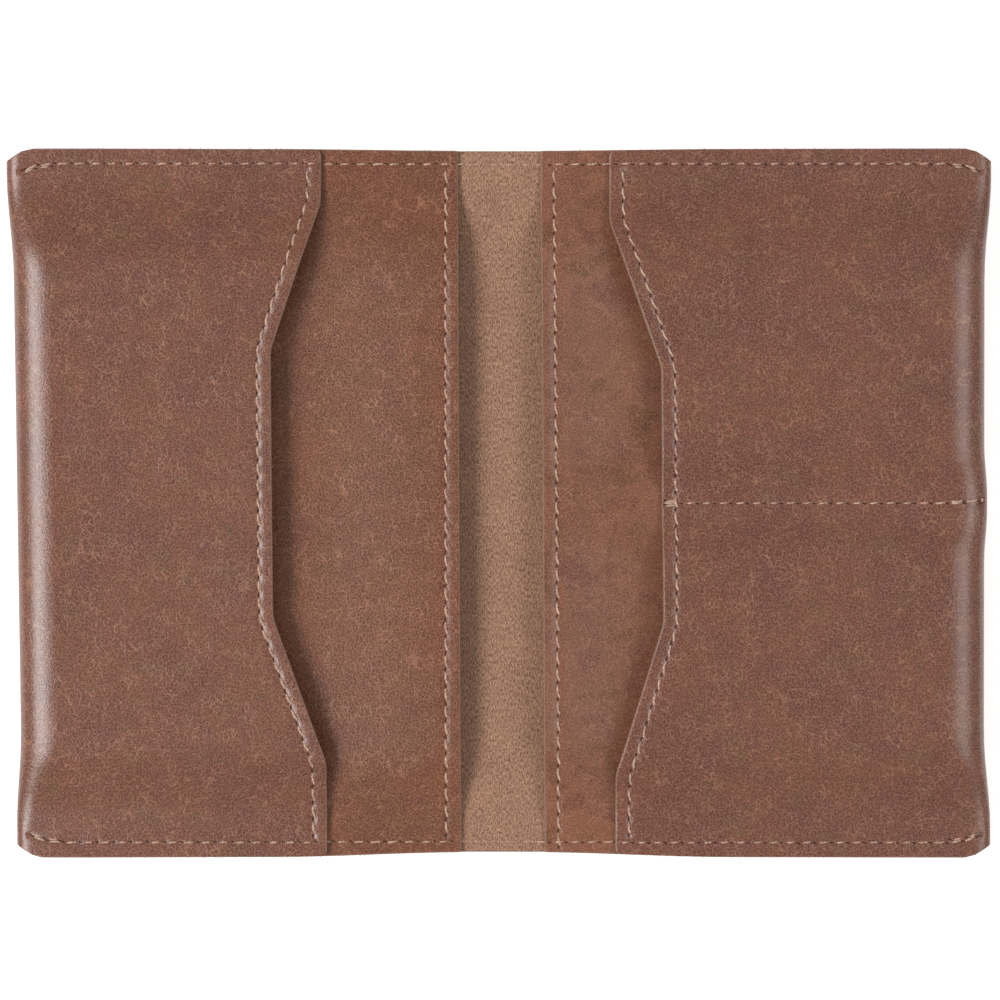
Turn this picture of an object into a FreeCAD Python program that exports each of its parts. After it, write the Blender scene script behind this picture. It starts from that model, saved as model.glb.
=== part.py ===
"""Passport holder, open flat. Writes one STEP file per sub-part, in millimetres.

One hide makes the cover and, turned in at both ends, the two pocket flaps. A thinner panel lies
inside each half: the passport's cover slides under it from the spine, and cards slide over it,
under the flap. Lockstitch seams along the top and bottom edges hold the layers together, and a
stitched divider parts the right flap into two card slots.

+X runs from the left half to the right one, +Y to the top edge, +Z up from the table. The origin
is on the table, in the middle of the open holder. Each half is drawn on the +X side, and the left
one is mirrored. Heights called lifts are above the place where a seam holds the layer flat.
"""

import FreeCAD, Part
import math
import os
from collections import namedtuple
from FreeCAD import Vector

# Overall size, open flat
half_length = 97.7  # from the spine's centre to the fold, where a seam holds it flat
half_width = 70.0  # from the centre to the top or bottom edge
corner_cut_x = 4.0  # the corners are cut off at a slant
corner_cut_y = 2.4

# Leather
cover_thickness = 1.2  # also the flaps', which are the same hide turned in
panel_thickness = 0.9

# Spine and the two lines that it folds at
fold_line = 7.65  # from the centre, at the cover's inner face
edge_fold_start = 88.0  # where the flat cover and flap pass into the turned edge

# How far the layers stand apart where no seam holds them
passport_mouth_gap = 4.5
passport_deep_gap = 0.5
card_gap = 4.6
divider_lift = 2.8  # of the panel and flap along the card divider
seam_band = 65.5  # beyond this |y| the layers are sewn flat
arch_start = 44.0  # within this |y| they stand fully apart
divider_band = 1.2  # half-width sewn flat along the card divider
divider_ramp_end = 12.0
ease_pull = 0.42  # share of a ramp that its level ends reach over
ramp_steps = 6

panel_end = 92.0  # the panels stop inside the turned edges

# Thread and stitches
thread_radius = 0.22
thread_sides = 8  # flat sides drawn round a thread
stitch_pitch = 3.3
strand_offset = 0.24  # two strands stand side by side in each needle hole
stitch_bend = 0.3  # a stitch's chamfered turn down into its hole
mitred = 1  # makePipeShell's code for a path with sharp corners
stitch_proud = 0.05  # height of a stitch's centreline over the leather
bobbin_depth = 0.25  # of a cover stitch's centreline, in its groove
groove_width = 0.7
groove_depth = 0.5
lock_height = 0.75  # where needle and bobbin thread meet in the cover
lock_gap = 0.06
hinge_clear = 0.35  # stitches stop this far short of a fold line
seam_y = 67.2
seam_end_inset = 2.5  # from the turned edge to the last needle hole
seam_end_drop = 1.5  # the last stitches run in from the edge, to miss the cut corner
seam_end_run = 4.2

top_level = cover_thickness + panel_thickness  # underside of a flap at the seams
flap_lift = passport_deep_gap + card_gap

# A flap's mouth steps back from two shoulders to a throat. Its corners are (x, y), top to bottom.
# A panel stands highest from its edge to panel_crest, and lies lowest beyond panel_foot. A turned
# edge draws in by fold_pull_in where it stands tall, and its bottom end stands in by fold_taper.
Half = namedtuple("Half", [
    "name", "top_shoulder", "throat_top", "throat_bottom", "bottom_shoulder", "fold_pull_in",
    "fold_taper", "panel_edge_top", "panel_edge_bottom", "panel_hem_top", "panel_hem_bottom", "panel_crest",
    "panel_foot", "divided"])
left = Half(
    "left", top_shoulder=(35.9, 59.3), throat_top=(45.6, 30.0), throat_bottom=(45.1, -22.5),
    bottom_shoulder=(34.7, -51.0), fold_pull_in=1.4, fold_taper=1.6, panel_edge_top=8.8,
    panel_edge_bottom=8.1, panel_hem_top=11.0, panel_hem_bottom=10.9,
    panel_crest=12.0, panel_foot=40.0, divided=False)
right = Half(
    "right", top_shoulder=(21.6, 55.5), throat_top=(31.7, 26.6), throat_bottom=(32.1, -23.7),
    bottom_shoulder=(22.8, -53.5), fold_pull_in=1.6, fold_taper=0.2, panel_edge_top=8.0,
    panel_edge_bottom=8.8, panel_hem_top=10.4, panel_hem_bottom=11.4,
    panel_crest=10.0, panel_foot=27.0, divided=True)
mouth_corner_radius = 8.0
mouth_tip_radius = 1.2
mouth_hem = 2.5  # from the mouth's edge to its stitches
hem_end = 65.0  # |y| where the hem stitches stop, short of the seams
divider_inset = 0.6  # from the mouth's throat to the divider's first needle hole
divider_end = 91.5


def bezier(points):
    curve = Part.BezierCurve()
    curve.setPoles(points)
    return curve.toShape()


def ease(share):
    """Height share, 0 to 1, at a share of the way along the level-ended ramp that bezier() draws."""
    low, high = 0.0, 1.0
    for _ in range(40):
        t = (low + high) / 2
        along = 3 * (1 - t) ** 2 * t * ease_pull + 3 * (1 - t) * t ** 2 * (1 - ease_pull) + t ** 3
        low, high = (t, high) if along < share else (low, t)
    return 3 * (1 - t) * t ** 2 + t ** 3


def is_level(lift0, lift1):
    return abs(lift0 - lift1) < 1e-9


def arch(middle, plateau, divided):
    """Stations (y, lift) across a half: nothing at the seams, plateau between, middle at the divider."""
    upper = [(arch_start, plateau), (seam_band, 0.0), (half_width, 0.0)]
    if divided:
        upper = [(divider_band, middle), (divider_ramp_end, plateau)] + upper
    return [(-y, lift) for y, lift in reversed(upper)] + upper


def lift_at(stations, y):
    for (y0, lift0), (y1, lift1) in zip(stations, stations[1:]):
        if y0 <= y <= y1:
            return lift0 + (lift1 - lift0) * ease((y - y0) / (y1 - y0))
    return 0.0


def panel_stations(half, x):
    """The passport panel's arch at a distance x from the spine's centre."""
    share = (x - half.panel_crest) / (half.panel_foot - half.panel_crest)
    share = min(1.0, max(0.0, share))
    plateau = passport_mouth_gap + (passport_deep_gap - passport_mouth_gap) * share
    middle = passport_mouth_gap + (divider_lift - passport_mouth_gap) * share
    return arch(middle, plateau, half.divided)


def flap_stations(half):
    return arch(divider_lift, flap_lift, half.divided)


def arched_section(x, base, thickness, stations):
    """A sheet's outline across the holder, in the plane at x."""

    def run(level, points):
        edges = []
        for (y0, lift0), (y1, lift1) in zip(points, points[1:]):
            start = Vector(x, y0, level + lift0)
            end = Vector(x, y1, level + lift1)
            pull = Vector(0, (y1 - y0) * ease_pull, 0)
            if is_level(lift0, lift1):
                edges.append(Part.makeLine(start, end))
            else:
                edges.append(bezier([start, start + pull, end - pull, end]))
        return edges

    lower = run(base, stations)
    upper = run(base + thickness, list(reversed(stations)))
    far_side = Part.makeLine(lower[-1].lastVertex().Point, upper[0].firstVertex().Point)
    near_side = Part.makeLine(upper[-1].lastVertex().Point, lower[0].firstVertex().Point)
    return Part.Wire(lower + [far_side] + upper + [near_side])


def rounded_path(corners):
    """Edges through (x, y, radius) corners, with an arc at each one between the two ends."""
    points = [Vector(x, y, 0) for x, y, _ in corners]
    edges = []
    start = points[0]
    for before, here, after, (_, _, radius) in zip(points, points[1:], points[2:], corners[1:]):
        back = (before - here).normalize()
        ahead = (after - here).normalize()
        half_angle = math.acos(back.dot(ahead)) / 2
        reach = radius / math.tan(half_angle)
        first, last = here + back * reach, here + ahead * reach
        centre = here + (back + ahead).normalize() * (radius / math.sin(half_angle))
        middle = centre + (here - centre).normalize() * radius
        edges += [Part.makeLine(start, first), Part.Arc(first, middle, last).toShape()]
        start = last
    return edges + [Part.makeLine(start, points[-1])]


def mouth_corners(half, inset, reach):
    """The mouth's line from the top edge to the bottom one, moved into the flap by inset."""
    turns = [half.top_shoulder, half.throat_top, half.throat_bottom, half.bottom_shoulder]
    inner = [(x + inset, y, mouth_corner_radius) for x, y in turns]
    (x_first, _, _), (x_last, _, _) = inner[0], inner[-1]
    return [(x_first, reach, 0)] + inner + [(x_last, -reach, 0)]


def polygon(points):
    corners = [Vector(x, y, 0) for x, y in points]
    return [Part.makeLine(a, b) for a, b in zip(corners, corners[1:] + corners[:1])]


def plan_prism(edges):
    """A tall prism over a closed plan outline, for trimming arched sheets."""
    face = Part.Face(Part.Wire(edges))
    face.translate(Vector(0, 0, -5))
    return face.extrude(Vector(0, 0, 30))


def cover(half):
    """The flat part of the cover, with grooves outside for the seams' bobbin stitches."""
    plate = Part.makeBox(edge_fold_start - fold_line, 2 * half_width, cover_thickness,
                         Vector(fold_line, -half_width, 0))
    return plate.cut(seam_grooves(fold_line, edge_fold_start))


def seam_grooves(x_start, x_end):
    grooves = [
        Part.makeBox(x_end - x_start, groove_width, groove_depth,
                     Vector(x_start, side * seam_y - groove_width / 2, 0))
        for side in (-1, 1)]
    return Part.makeCompound(grooves)


def spine_cover():
    plate = Part.makeBox(2 * fold_line, 2 * half_width, cover_thickness, Vector(-fold_line, -half_width, 0))
    return plate.cut(seam_grooves(-fold_line, fold_line))


def passport_panel(half):
    sections = [
        arched_section(x, cover_thickness, panel_thickness, panel_stations(half, x))
        for x in (fold_line, half.panel_crest, half.panel_foot, panel_end)]
    sheet = Part.makeLoft(sections, True, True)
    outline = polygon([
        (half.panel_edge_top, half_width), (half.panel_edge_bottom, -half_width),
        (panel_end, -half_width), (panel_end, half_width)])
    return sheet.common(plan_prism(outline))


def flap(half):
    section = Part.Face(arched_section(0, top_level, cover_thickness, flap_stations(half)))
    sheet = section.extrude(Vector(edge_fold_start, 0, 0))
    turns = mouth_corners(half, 0, half_width)[1:-1]
    first_tip = (half.top_shoulder[0], half_width, mouth_tip_radius)
    last_tip = (half.bottom_shoulder[0], -half_width, mouth_tip_radius)
    start = (edge_fold_start, half_width, 0)
    end = (edge_fold_start, -half_width, 0)
    mouth = rounded_path([start, first_tip] + turns + [last_tip, end])
    closing = Part.makeLine(Vector(*end), Vector(*start))
    return sheet.common(plan_prism(mouth + [closing]))


def fold_reach(half, y):
    """The turned edge's distance from the spine's centre."""
    free = lift_at(flap_stations(half), y) / flap_lift
    taper = half.fold_taper * (half_width - y) / (2 * half_width)
    return half_length - taper - half.fold_pull_in * free


def edge_fold_section(half, y):
    """The turned edge's C-shaped section in the plane at y."""
    top = top_level + cover_thickness + lift_at(flap_stations(half), y)
    start, outer = edge_fold_start, top / 2
    inner = outer - cover_thickness
    centre = fold_reach(half, y) - outer

    def at(x, z):
        return Vector(x, y, z)

    def line(*ends):
        return Part.makeLine(*[at(x, z) for x, z in ends])

    def arc(*points):
        return Part.Arc(*[at(x, z) for x, z in points]).toShape()

    under = top - cover_thickness
    return Part.Wire([
        line((start, 0), (centre, 0)),
        arc((centre, 0), (centre + outer, outer), (centre, top)),
        line((centre, top), (start, top)),
        line((start, top), (start, under)),
        line((start, under), (centre, under)),
        arc((centre, under), (centre + inner, outer), (centre, cover_thickness)),
        line((centre, cover_thickness), (start, cover_thickness)),
        line((start, cover_thickness), (start, 0))])


def edge_fold(half):
    stations = flap_stations(half)
    places = []
    for (y0, lift0), (y1, lift1) in zip(stations, stations[1:]):
        steps = 1 if is_level(lift0, lift1) else ramp_steps
        places += [y0 + (y1 - y0) * step / steps for step in range(steps)]
    sections = [edge_fold_section(half, y) for y in places + [half_width]]
    turned = Part.makeLoft(sections, True, True)
    grooves = seam_grooves(edge_fold_start, half_length)
    return turned.cut(Part.makeCompound([corner_cut(half, 1), corner_cut(half, -1), grooves]))


def corner_cut(half, side):
    reach = fold_reach(half, side * half_width)
    return plan_prism(polygon([
        (reach - corner_cut_x, side * half_width), (reach, side * (half_width - corner_cut_y)),
        (half_length + 1, side * half_width)]))


def stitch(start, end, up, leg):
    """One thread loop over the leather from needle hole to needle hole, with a strand down each hole."""
    along = (end - start).normalize()
    first = start + along * strand_offset
    last = end - along * strand_offset
    foot = first - up * leg
    path = Part.makePolygon([
        foot, first - up * stitch_bend, first + along * stitch_bend,
        last - along * stitch_bend, last - up * stitch_bend, last - up * leg])
    across = up.cross(along)
    turns = [2 * math.pi * step / thread_sides for step in range(thread_sides)]
    rim = [foot + (along * math.cos(a) + across * math.sin(a)) * thread_radius for a in turns]
    ring = Part.makePolygon(rim + rim[:1])
    return path.makePipeShell([ring], True, False, mitred)


def spread(edges):
    """Needle holes at the stitch pitch along a plan line."""
    line = Part.Wire(edges)
    count = round(line.Length / stitch_pitch)
    return line.discretize(Number=count + 1)


def stitch_row(holes, height, leg, side=1):
    """Stitches between neighbouring holes, over the leather (side 1) or under it (side -1)."""
    row = []
    for a, b in zip(holes, holes[1:]):
        start, end = Vector(a.x, a.y, height(a)), Vector(b.x, b.y, height(b))
        along = (end - start).normalize()
        across = Vector(0, 0, 1).cross(along)
        up = along.cross(across).normalize() * side
        row.append(stitch(start, end, up, leg))
    return Part.makeCompound(row)


def seam_line(half, side):
    """A half's top or bottom seam, which runs in from the edge at its last stitches."""
    seam_end = fold_reach(half, side * half_width) - seam_end_inset
    points = [(fold_line + hinge_clear, side * seam_y), (seam_end - seam_end_run, side * seam_y),
              (seam_end, side * (seam_y - seam_end_drop))]
    return [Part.makeLine(Vector(*a, 0), Vector(*b, 0)) for a, b in zip(points, points[1:])]


def seam_needle(holes, level_at):
    """The seam's needle stitches: each lies level, on the higher of the layers at its two holes."""
    row = []
    for a, b in zip(holes, holes[1:]):
        level = max(level_at(a), level_at(b)) + stitch_proud
        start, end = Vector(a.x, a.y, level), Vector(b.x, b.y, level)
        row.append(stitch(start, end, Vector(0, 0, 1), level - lock_height - lock_gap))
    return Part.makeCompound(row)


def seam_threads(half, side):
    flap_edge, _ = half.top_shoulder if side > 0 else half.bottom_shoulder
    panel_edge = half.panel_edge_top if side > 0 else half.panel_edge_bottom

    def level_at(hole):
        if hole.x > flap_edge:
            return top_level + cover_thickness
        return top_level if hole.x > panel_edge else cover_thickness

    holes = spread(seam_line(half, side))
    return seam_needle(holes, level_at), seam_bobbin(holes)


def seam_bobbin(holes):
    return stitch_row(holes, lambda hole: bobbin_depth, lock_height - lock_gap - bobbin_depth, -1)


def spine_seam_threads(side):
    reach = fold_line - hinge_clear
    line = Part.makeLine(Vector(-reach, side * seam_y, 0), Vector(reach, side * seam_y, 0))
    holes = spread([line])
    return seam_needle(holes, lambda hole: cover_thickness), seam_bobbin(holes)


def hem_threads(holes, underside, thickness):
    """Needle stitches over a sheet, or several sewn layers, and bobbin stitches under it."""
    leg = thickness / 2 + stitch_proud - lock_gap
    needle = stitch_row(holes, lambda hole: underside(hole) + thickness + stitch_proud, leg)
    bobbin = stitch_row(holes, lambda hole: underside(hole) - stitch_proud, leg, -1)
    return needle, bobbin


def flap_hem_threads(half):
    def underside(hole):
        return top_level + lift_at(flap_stations(half), hole.y)

    holes = spread(rounded_path(mouth_corners(half, mouth_hem, hem_end)))
    return hem_threads(holes, underside, cover_thickness)


def panel_hem_threads(half):
    def underside(hole):
        return cover_thickness + lift_at(panel_stations(half, hole.x), hole.y)

    start = Vector(half.panel_hem_top, hem_end, 0)
    end = Vector(half.panel_hem_bottom, -hem_end, 0)
    return hem_threads(spread([Part.makeLine(start, end)]), underside, panel_thickness)


def divider_threads(half):
    """The seam between the two card slots, through the flap and the panel but not the cover."""
    throat = max(half.throat_top[0], half.throat_bottom[0])
    line = Part.makeLine(Vector(throat + divider_inset, 0, 0), Vector(divider_end, 0, 0))
    underside = cover_thickness + divider_lift
    return hem_threads(spread([line]), lambda hole: underside, panel_thickness + cover_thickness)


def half_parts(half):
    parts = {
        f"{half.name}_cover": cover(half),
        f"{half.name}_edge_fold": edge_fold(half),
        f"{half.name}_pocket_flap": flap(half),
        f"{half.name}_passport_panel": passport_panel(half)}
    rows = {
        "top_seam": seam_threads(half, 1),
        "bottom_seam": seam_threads(half, -1),
        "flap_hem": flap_hem_threads(half),
        "panel_hem": panel_hem_threads(half)}
    if half.divided:
        rows["card_divider"] = divider_threads(half)
    for name, (needle, bobbin) in rows.items():
        parts[f"{half.name}_{name}_needle_thread"] = needle
        parts[f"{half.name}_{name}_bobbin_thread"] = bobbin
    if half is left:
        parts = {name: shape.mirror(Vector(0, 0, 0), Vector(1, 0, 0)) for name, shape in parts.items()}
    return parts


def spine_parts():
    parts = {"spine_cover": spine_cover()}
    for edge, side in (("top", 1), ("bottom", -1)):
        needle, bobbin = spine_seam_threads(side)
        parts[f"spine_{edge}_seam_needle_thread"] = needle
        parts[f"spine_{edge}_seam_bobbin_thread"] = bobbin
    return parts


def main():
    os.makedirs("parts", exist_ok=True)
    parts = {**half_parts(left), **spine_parts(), **half_parts(right)}
    for name, shape in parts.items():
        shape.exportStep(f"parts/{name}.step")
        box = shape.BoundBox
        print(f"{name}: {len(shape.Solids)} solids, valid {shape.isValid()}, volume {shape.Volume:.1f} mm3, "
              f"x {box.XMin:.2f} to {box.XMax:.2f}, z {box.ZMin:.2f} to {box.ZMax:.2f}")


main()
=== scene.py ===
import math
import random

import bpy
import numpy as np
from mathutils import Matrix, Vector, noise
from mathutils.bvhtree import BVHTree
from mathutils.kdtree import KDTree


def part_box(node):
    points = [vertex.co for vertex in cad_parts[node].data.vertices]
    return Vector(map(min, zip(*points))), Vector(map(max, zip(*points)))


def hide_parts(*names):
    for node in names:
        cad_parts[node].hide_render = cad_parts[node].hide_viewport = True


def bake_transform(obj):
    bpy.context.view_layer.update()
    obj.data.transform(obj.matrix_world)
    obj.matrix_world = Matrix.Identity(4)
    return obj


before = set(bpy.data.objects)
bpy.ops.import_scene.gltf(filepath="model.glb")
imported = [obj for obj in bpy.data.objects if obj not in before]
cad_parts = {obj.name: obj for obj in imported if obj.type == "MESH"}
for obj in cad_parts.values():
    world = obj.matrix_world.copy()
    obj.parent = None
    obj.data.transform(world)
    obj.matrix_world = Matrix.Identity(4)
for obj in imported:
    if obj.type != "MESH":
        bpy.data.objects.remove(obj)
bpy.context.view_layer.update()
mm = 0.001               # lengths below are millimetres, and X is the distance outwards from the spine
sides = {"right": 1, "left": -1}


def srgb(code):
    parts = [int(code[i:i + 2], 16) / 255 for i in (1, 3, 5)]
    return [c / 12.92 if c <= 0.04045 else ((c + 0.055) / 1.055) ** 2.4 for c in parts] + [1.0]


def addNode(tree, kind, settings={}, links={}):
    node = tree.nodes.new("ShaderNode" + kind)
    for key, value in settings.items():
        if isinstance(key, str) and hasattr(node, key):
            setattr(node, key, value)
        else:
            node.inputs[key].default_value = value
    for key, source in links.items():
        tree.links.new(source, node.inputs[key])
    return node


def smooth(t):
    t = np.clip(t, 0, 1)
    return t * t * (3 - 2 * t)


def boxMm(node):
    return [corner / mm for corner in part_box(node)]


def cadTree(node):
    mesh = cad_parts[node].data
    return BVHTree.FromPolygons([v.co / mm for v in mesh.vertices], [list(p.vertices) for p in mesh.polygons])


def gridTree(*grids):
    points, faces = [], []
    for grid in grids:
        index = np.arange(grid.shape[0] * grid.shape[1]).reshape(grid.shape[:2]) + len(points)
        quads = np.stack([index[:-1, :-1], index[:-1, 1:], index[1:, 1:], index[1:, :-1]], 2).reshape(-1, 4)
        points += grid.reshape(-1, 3).tolist()
        faces += quads.tolist()
    return BVHTree.FromPolygons(points, faces)


def cast(tree, origin, direction):
    return tree.ray_cast(Vector(origin), Vector(direction))[0]


skyMm = 30.0             # a height above everything, to look down from


def stand(tree, x, y):
    hit = cast(tree, (x, y, skyMm), (0, 0, -1))
    return hit.z if hit else 0.0


spineBox = boxMm("spine_cover")
hideThick = spineBox[1].z - spineBox[0].z
halfWidth = spineBox[1].y
seamY = sum(corner.y for corner in boxMm("spine_top_seam_needle_thread")) / 2
pitch = 3.3              # stitch length, about eight to the inch


def startMaterial(name):
    # a material whose node tree is still empty
    material = bpy.data.materials.new(name)
    material.use_nodes = True
    tree = material.node_tree
    tree.nodes.clear()
    return material, tree


grain = {
    "light": "#6e3d2a", "dark": "#643727", "olive": "#65412a", "mauve": "#653a30", "line": "#ab785e",
    "foldMm": 0.58, "foldLine": 0.17, "poreMm": 1.3, "creaseMm": 1.7, "creaseLine": 0.055,
    "creasedMm": 5, "cloudMm": 15, "patchMm": 6, "fineMm": 0.34,
    "reliefMm": 0.022, "roughness": 0.26, "specular": 0.85,
    # how often each pattern wanders off its place, and how far
    "wanderMm": {"fold": (0.8, 0.7), "pore": (2.0, 1.0), "crease": (3.0, 4.0), "creased": (9.0, 3.0),
                 "patch": (12.0, 9.0)},
}


def milledAniline(name, values, shift):
    # Cow leather, aniline dyed and milled: cloudy dye, a pale net of fine folds round small cells, open
    # pores, longer milling creases, and a wax finish that gives a low satin shine. The folds and pores are
    # drawn two or three times as coarse as real ones, because finer ones don't show.
    material, tree = startMaterial(name)
    lie = addNode(tree, "UVMap", {"uv_map": "lieMm"}).outputs[0]       # the place on the flat piece, in mm
    place = addNode(tree, "VectorMath", {"operation": "ADD", 1: shift}, {0: lie}).outputs[0]
    moved = {}
    for pattern, (everyMm, byMm) in values["wanderMm"].items():
        wander = addNode(tree, "TexNoise", {"Scale": 1 / everyMm, "Detail": 2}, {"Vector": place})
        moved[pattern] = addNode(tree, "VectorMath", {"operation": "MULTIPLY_ADD", 1: (byMm, byMm, 0)},
                                 {0: wander.outputs["Color"], 2: place}).outputs[0]
    folds = addNode(tree, "TexVoronoi", {"feature": "DISTANCE_TO_EDGE", "Scale": 1 / values["foldMm"]},
                    {"Vector": moved["fold"]}).outputs["Distance"]
    pores = addNode(tree, "TexVoronoi", {"feature": "F1", "Scale": 1 / values["poreMm"]},
                    {"Vector": moved["pore"]}).outputs["Distance"]
    creases = addNode(tree, "TexVoronoi", {"feature": "DISTANCE_TO_EDGE", "Scale": 1 / values["creaseMm"]},
                      {"Vector": moved["crease"]}).outputs["Distance"]
    creased = addNode(tree, "TexNoise", {"Scale": 1 / values["creasedMm"], "Detail": 2},
                      {"Vector": moved["creased"]}).outputs[0]
    fine = addNode(tree, "TexNoise", {"Scale": 1 / values["fineMm"], "Detail": 2},
                   {"Vector": place}).outputs[0]
    cloud = addNode(tree, "TexNoise", {"Scale": 1 / values["cloudMm"], "Detail": 3, "Distortion": 0.5},
                    {"Vector": place}).outputs[0]
    patch = addNode(tree, "TexNoise", {"Scale": 1 / values["patchMm"], "Detail": 3},
                    {"Vector": moved["patch"]}).outputs[0]

    share = {}           # each pattern's reach from low to high, turned to a share from start to end
    for use, source, low, high, start, end in (
            ("cloud", cloud, 0.4, 0.6, 0.0, 1.0),
            ("olive", patch, 0.52, 0.68, 0.0, 0.75),
            ("mauve", patch, 0.46, 0.34, 0.0, 0.6),
            ("fineShade", fine, 0.3, 0.7, 0.82, 1.08),
            ("poreShade", pores, 0.05, 0.16, 0.8, 1.0),
            ("foldLine", folds, 0.0, values["foldLine"], 0.62, 0.0),
            ("foldBreak", fine, 0.35, 0.65, 0.25, 1.0),
            ("creaseLine", creases, 0.0, values["creaseLine"], 1.0, 0.0),
            ("creased", creased, 0.42, 0.6, 0.0, 1.0),
            ("foldRelief", folds, 0.0, values["foldLine"], 0.0, 0.5),
            ("poreRelief", pores, 0.06, 0.2, 0.0, 1.0),
            ("roughness", fine, 0.3, 0.7, values["roughness"] - 0.04, values["roughness"] + 0.06)):
        share[use] = addNode(tree, "MapRange", {
            "interpolation_type": "SMOOTHSTEP", "From Min": low, "From Max": high,
            "To Min": start, "To Max": end}, {"Value": source}).outputs[0]

    dyed = addNode(tree, "Mix", {"data_type": "RGBA", 6: srgb(values["dark"]), 7: srgb(values["light"])},
                   {0: share["cloud"]}).outputs[2]
    for dye in ("olive", "mauve"):
        dyed = addNode(tree, "Mix", {"data_type": "RGBA", 7: srgb(values[dye])},
                       {0: share[dye], 6: dyed}).outputs[2]
    shade = addNode(tree, "Math", {"operation": "MULTIPLY"}, {0: share["fineShade"], 1: share["poreShade"]})
    shaded = addNode(tree, "VectorMath", {"operation": "SCALE"}, {0: dyed, "Scale": shade.outputs[0]})
    crease = addNode(tree, "Math", {"operation": "MULTIPLY"},
                     {0: share["creaseLine"], 1: share["creased"]}).outputs[0]
    net = addNode(tree, "Math", {"operation": "MULTIPLY"}, {0: share["foldLine"], 1: share["foldBreak"]})
    lines = addNode(tree, "Math", {"operation": "MULTIPLY_ADD", 1: 0.42, "use_clamp": True},
                    {0: crease, 2: net.outputs[0]})
    colour = addNode(tree, "Mix", {"data_type": "RGBA", 7: srgb(values["line"])},
                     {0: lines.outputs[0], 6: shaded.outputs[0]})
    relief = share["foldRelief"]
    for source, height in ((fine, 0.7), (share["poreRelief"], 0.3), (crease, -0.6), (creased, 1.0)):
        relief = addNode(tree, "Math", {"operation": "MULTIPLY_ADD", 1: height},
                         {0: source, 2: relief}).outputs[0]
    bump = addNode(tree, "Bump", {"Strength": 0.8, "Distance": values["reliefMm"] * mm}, {"Height": relief})
    surface = addNode(tree, "BsdfPrincipled", {"IOR": 1.5, "Specular IOR Level": values["specular"]}, {
        "Base Color": colour.outputs[2], "Normal": bump.outputs[0], "Roughness": share["roughness"]})
    addNode(tree, "OutputMaterial", {}, {"Surface": surface.outputs[0]})
    return material


flesh = {"light": "#c79c81", "dark": "#654636", "speck": "#4b3329", "sheen": "#d9b7a2",
         "napMm": (0.23, 0.65), "rootMm": 0.7, "patchMm": 7, "bumpMm": 0.15}


def buffedFlesh(name, values):
    # The hide's flesh side, split and buffed: short nap brushed along the spine, loose dark roots, no shine.
    material, tree = startMaterial(name)
    lie = addNode(tree, "UVMap", {"uv_map": "lieMm"}).outputs[0]       # the place on the flat piece, in mm
    acrossMm, alongMm = values["napMm"]
    brushed = addNode(tree, "VectorMath", {"operation": "MULTIPLY", 1: (1 / acrossMm, 1 / alongMm, 1)},
                      {0: lie})
    nap = addNode(tree, "TexNoise", {"Scale": 1, "Detail": 5, "Roughness": 0.7, "Distortion": 0.5},
                  {"Vector": brushed.outputs[0]})
    roots = addNode(tree, "TexNoise", {"Scale": 1 / values["rootMm"], "Detail": 3, "Roughness": 0.7},
                    {"Vector": lie})
    patch = addNode(tree, "TexNoise", {"Scale": 1 / values["patchMm"], "Detail": 3}, {"Vector": lie})
    napShare = addNode(tree, "MapRange", {"From Min": 0.36, "From Max": 0.64}, {"Value": nap.outputs[0]})
    rootShare = addNode(tree, "MapRange", {"From Min": 0.62, "From Max": 0.74, "To Max": 0.55},
                        {"Value": roots.outputs[0]})
    patchShade = addNode(tree, "MapRange", {"From Min": 0.3, "From Max": 0.7, "To Min": 0.93, "To Max": 1.07},
                         {"Value": patch.outputs[0]})
    fibre = addNode(tree, "Mix", {"data_type": "RGBA", 6: srgb(values["dark"]), 7: srgb(values["light"])},
                    {0: napShare.outputs[0]})
    rooted = addNode(tree, "Mix", {"data_type": "RGBA", 7: srgb(values["speck"])},
                     {0: rootShare.outputs[0], 6: fibre.outputs[2]})
    colour = addNode(tree, "VectorMath", {"operation": "SCALE"},
                     {0: rooted.outputs[2], "Scale": patchShade.outputs[0]})
    bump = addNode(tree, "Bump", {"Strength": 0.9, "Distance": values["bumpMm"] * mm},
                   {"Height": nap.outputs[0]})
    surface = addNode(tree, "BsdfPrincipled", {
        "Roughness": 0.95, "Specular IOR Level": 0.15, "Sheen Weight": 0.25, "Sheen Roughness": 0.6,
        "Sheen Tint": srgb(values["sheen"])}, {"Base Color": colour.outputs[0], "Normal": bump.outputs[0]})
    addNode(tree, "OutputMaterial", {}, {"Surface": surface.outputs[0]})
    return material


rawEdge = {"core": "#a68876", "skin": "#7c5848", "fibresPerMm": (2.2, 6), "bumpMm": 0.1}


def cutEdge(name, values):
    # A knife-cut edge, left raw: packed pale fibres across the thickness, mixed with darker ones.
    material, tree = startMaterial(name)
    lie = addNode(tree, "UVMap", {"uv_map": "lieMm"}).outputs[0]       # the place on the flat piece, in mm
    along, through = values["fibresPerMm"]
    squeezed = addNode(tree, "VectorMath", {"operation": "MULTIPLY", 1: (along, through, 1)}, {0: lie})
    fibres = addNode(tree, "TexNoise", {"Scale": 1, "Detail": 4, "Roughness": 0.7},
                     {"Vector": squeezed.outputs[0]})
    paleShare = addNode(tree, "MapRange", {"From Min": 0.35, "From Max": 0.62}, {"Value": fibres.outputs[0]})
    colour = addNode(tree, "Mix", {"data_type": "RGBA", 6: srgb(values["skin"]), 7: srgb(values["core"])},
                     {0: paleShare.outputs[0]})
    bump = addNode(tree, "Bump", {"Strength": 0.8, "Distance": values["bumpMm"] * mm},
                   {"Height": fibres.outputs[0]})
    surface = addNode(tree, "BsdfPrincipled", {"Roughness": 0.8, "Specular IOR Level": 0.3},
                      {"Base Color": colour.outputs[2], "Normal": bump.outputs[0]})
    addNode(tree, "OutputMaterial", {}, {"Surface": surface.outputs[0]})
    return material


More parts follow.
